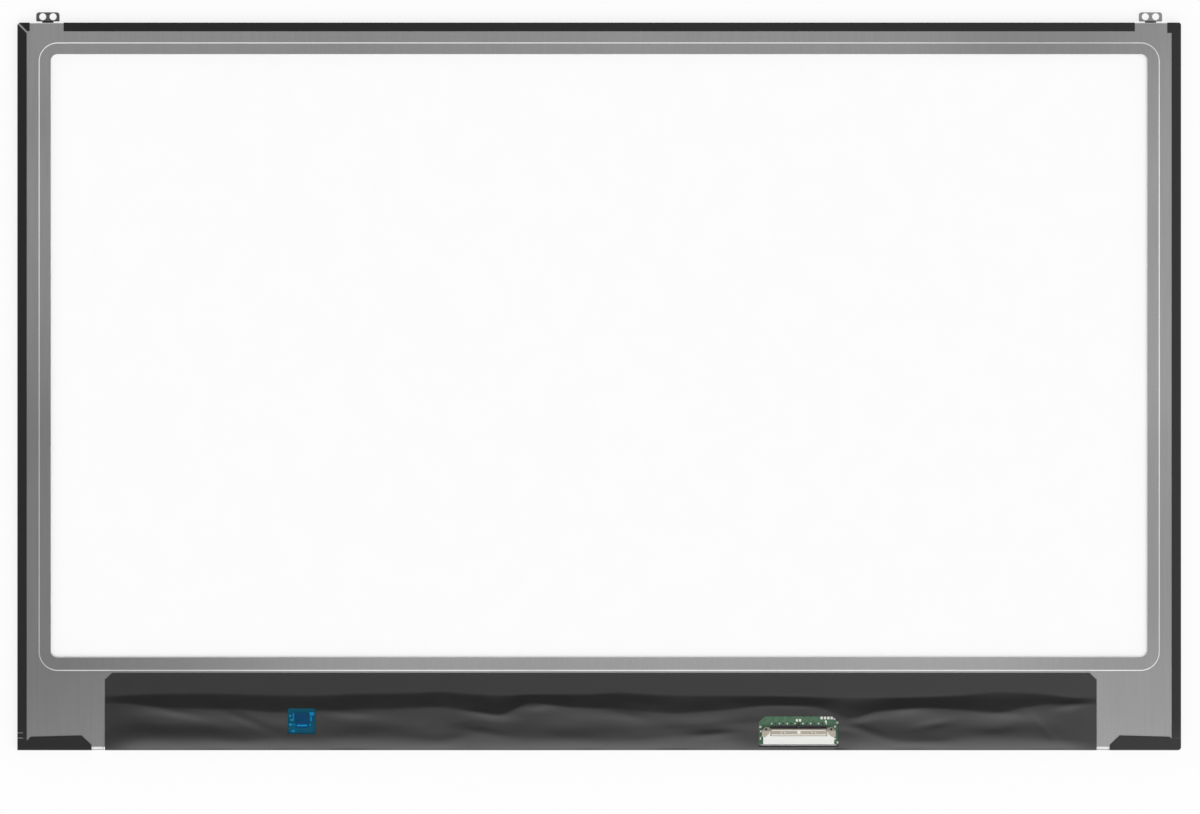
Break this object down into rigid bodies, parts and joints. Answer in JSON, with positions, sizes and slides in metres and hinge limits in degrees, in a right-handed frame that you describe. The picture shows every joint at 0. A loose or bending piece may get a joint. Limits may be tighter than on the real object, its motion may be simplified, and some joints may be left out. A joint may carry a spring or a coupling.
{
  "type": "laptop screen panel",
  "caption": "Slim liquid-crystal panel with a stamped back plate, white reflector window, film-covered control board with edge connector and bracket ears.",
  "frame": {"origin": "middle of the outline without the ears, on the picture face", "axes": "+X right and +Y towards the ears seen from the back, +Z out of the back; it lies face down"},
  "size_m": [0.3158, 0.2003, 0.0033],
  "materials": {
    "polariser_film": "glossy dark film",
    "cell_glass": "polished",
    "black_tape": "matt black polyester tape",
    "optical_film": "translucent satin film",
    "clear_acrylic": "clear moulded acrylic",
    "white_reflector": "matt white polyester sheet",
    "white_moulding": "moulded white polycarbonate",
    "plate_steel": "satin rolled steel sheet",
    "amber_flex": "amber polyimide circuit",
    "led_package": "white package",
    "green_board": "green solder mask",
    "chip_black": "moulded epoxy",
    "coil_grey": "ferrite",
    "capacitor_tan": "ceramic",
    "connector_white": "moulded liquid-crystal polymer",
    "connector_metal": "tinned sheet metal",
    "contact_metal": "gold-plated strip",
    "cover_black": "glossy black polyester film",
    "window_blue": "translucent blue film"
  },
  "bodies": {
    "root": {"front_polariser": "polariser_film", "colour_filter_glass": "cell_glass", "array_glass": "cell_glass", "rear_polariser": "polariser_film", "rim_tape": "black_tape", "upper_prism_sheet": "optical_film", "lower_prism_sheet": "optical_film", "diffuser_sheet": "optical_film", "light_guide": "clear_acrylic", "reflector_sheet": "white_reflector", "leds": "led_package", "led_flex": "amber_flex", "mould_frame": "white_moulding", "back_plate": "plate_steel", "control_board": "green_board", "timing_chip": "chip_black", "power_chip": "chip_black", "light_driver_chip": "chip_black", "setting_chip": "chip_black", "resistor_network": "chip_black", "coils": "coil_grey", "capacitors": "capacitor_tan", "resistors": "chip_black", "connector_housing": "connector_white", "connector_shell": "connector_metal", "connector_contacts": "contact_metal", "window_film": "window_blue", "cover_film": "cover_black", "left_edge_tape": "black_tape", "top_left_corner_tape": "black_tape", "top_edge_tape": "black_tape", "right_edge_tape": "black_tape", "bottom_left_corner_tape": "black_tape", "bottom_right_corner_tape": "black_tape", "source_film_1": "amber_flex", "driver_chip_1": "chip_black", "source_film_2": "amber_flex", "driver_chip_2": "chip_black", "source_film_3": "amber_flex", "driver_chip_3": "chip_black", "source_film_4": "amber_flex", "driver_chip_4": "chip_black"}
  },
  "joints": []
}
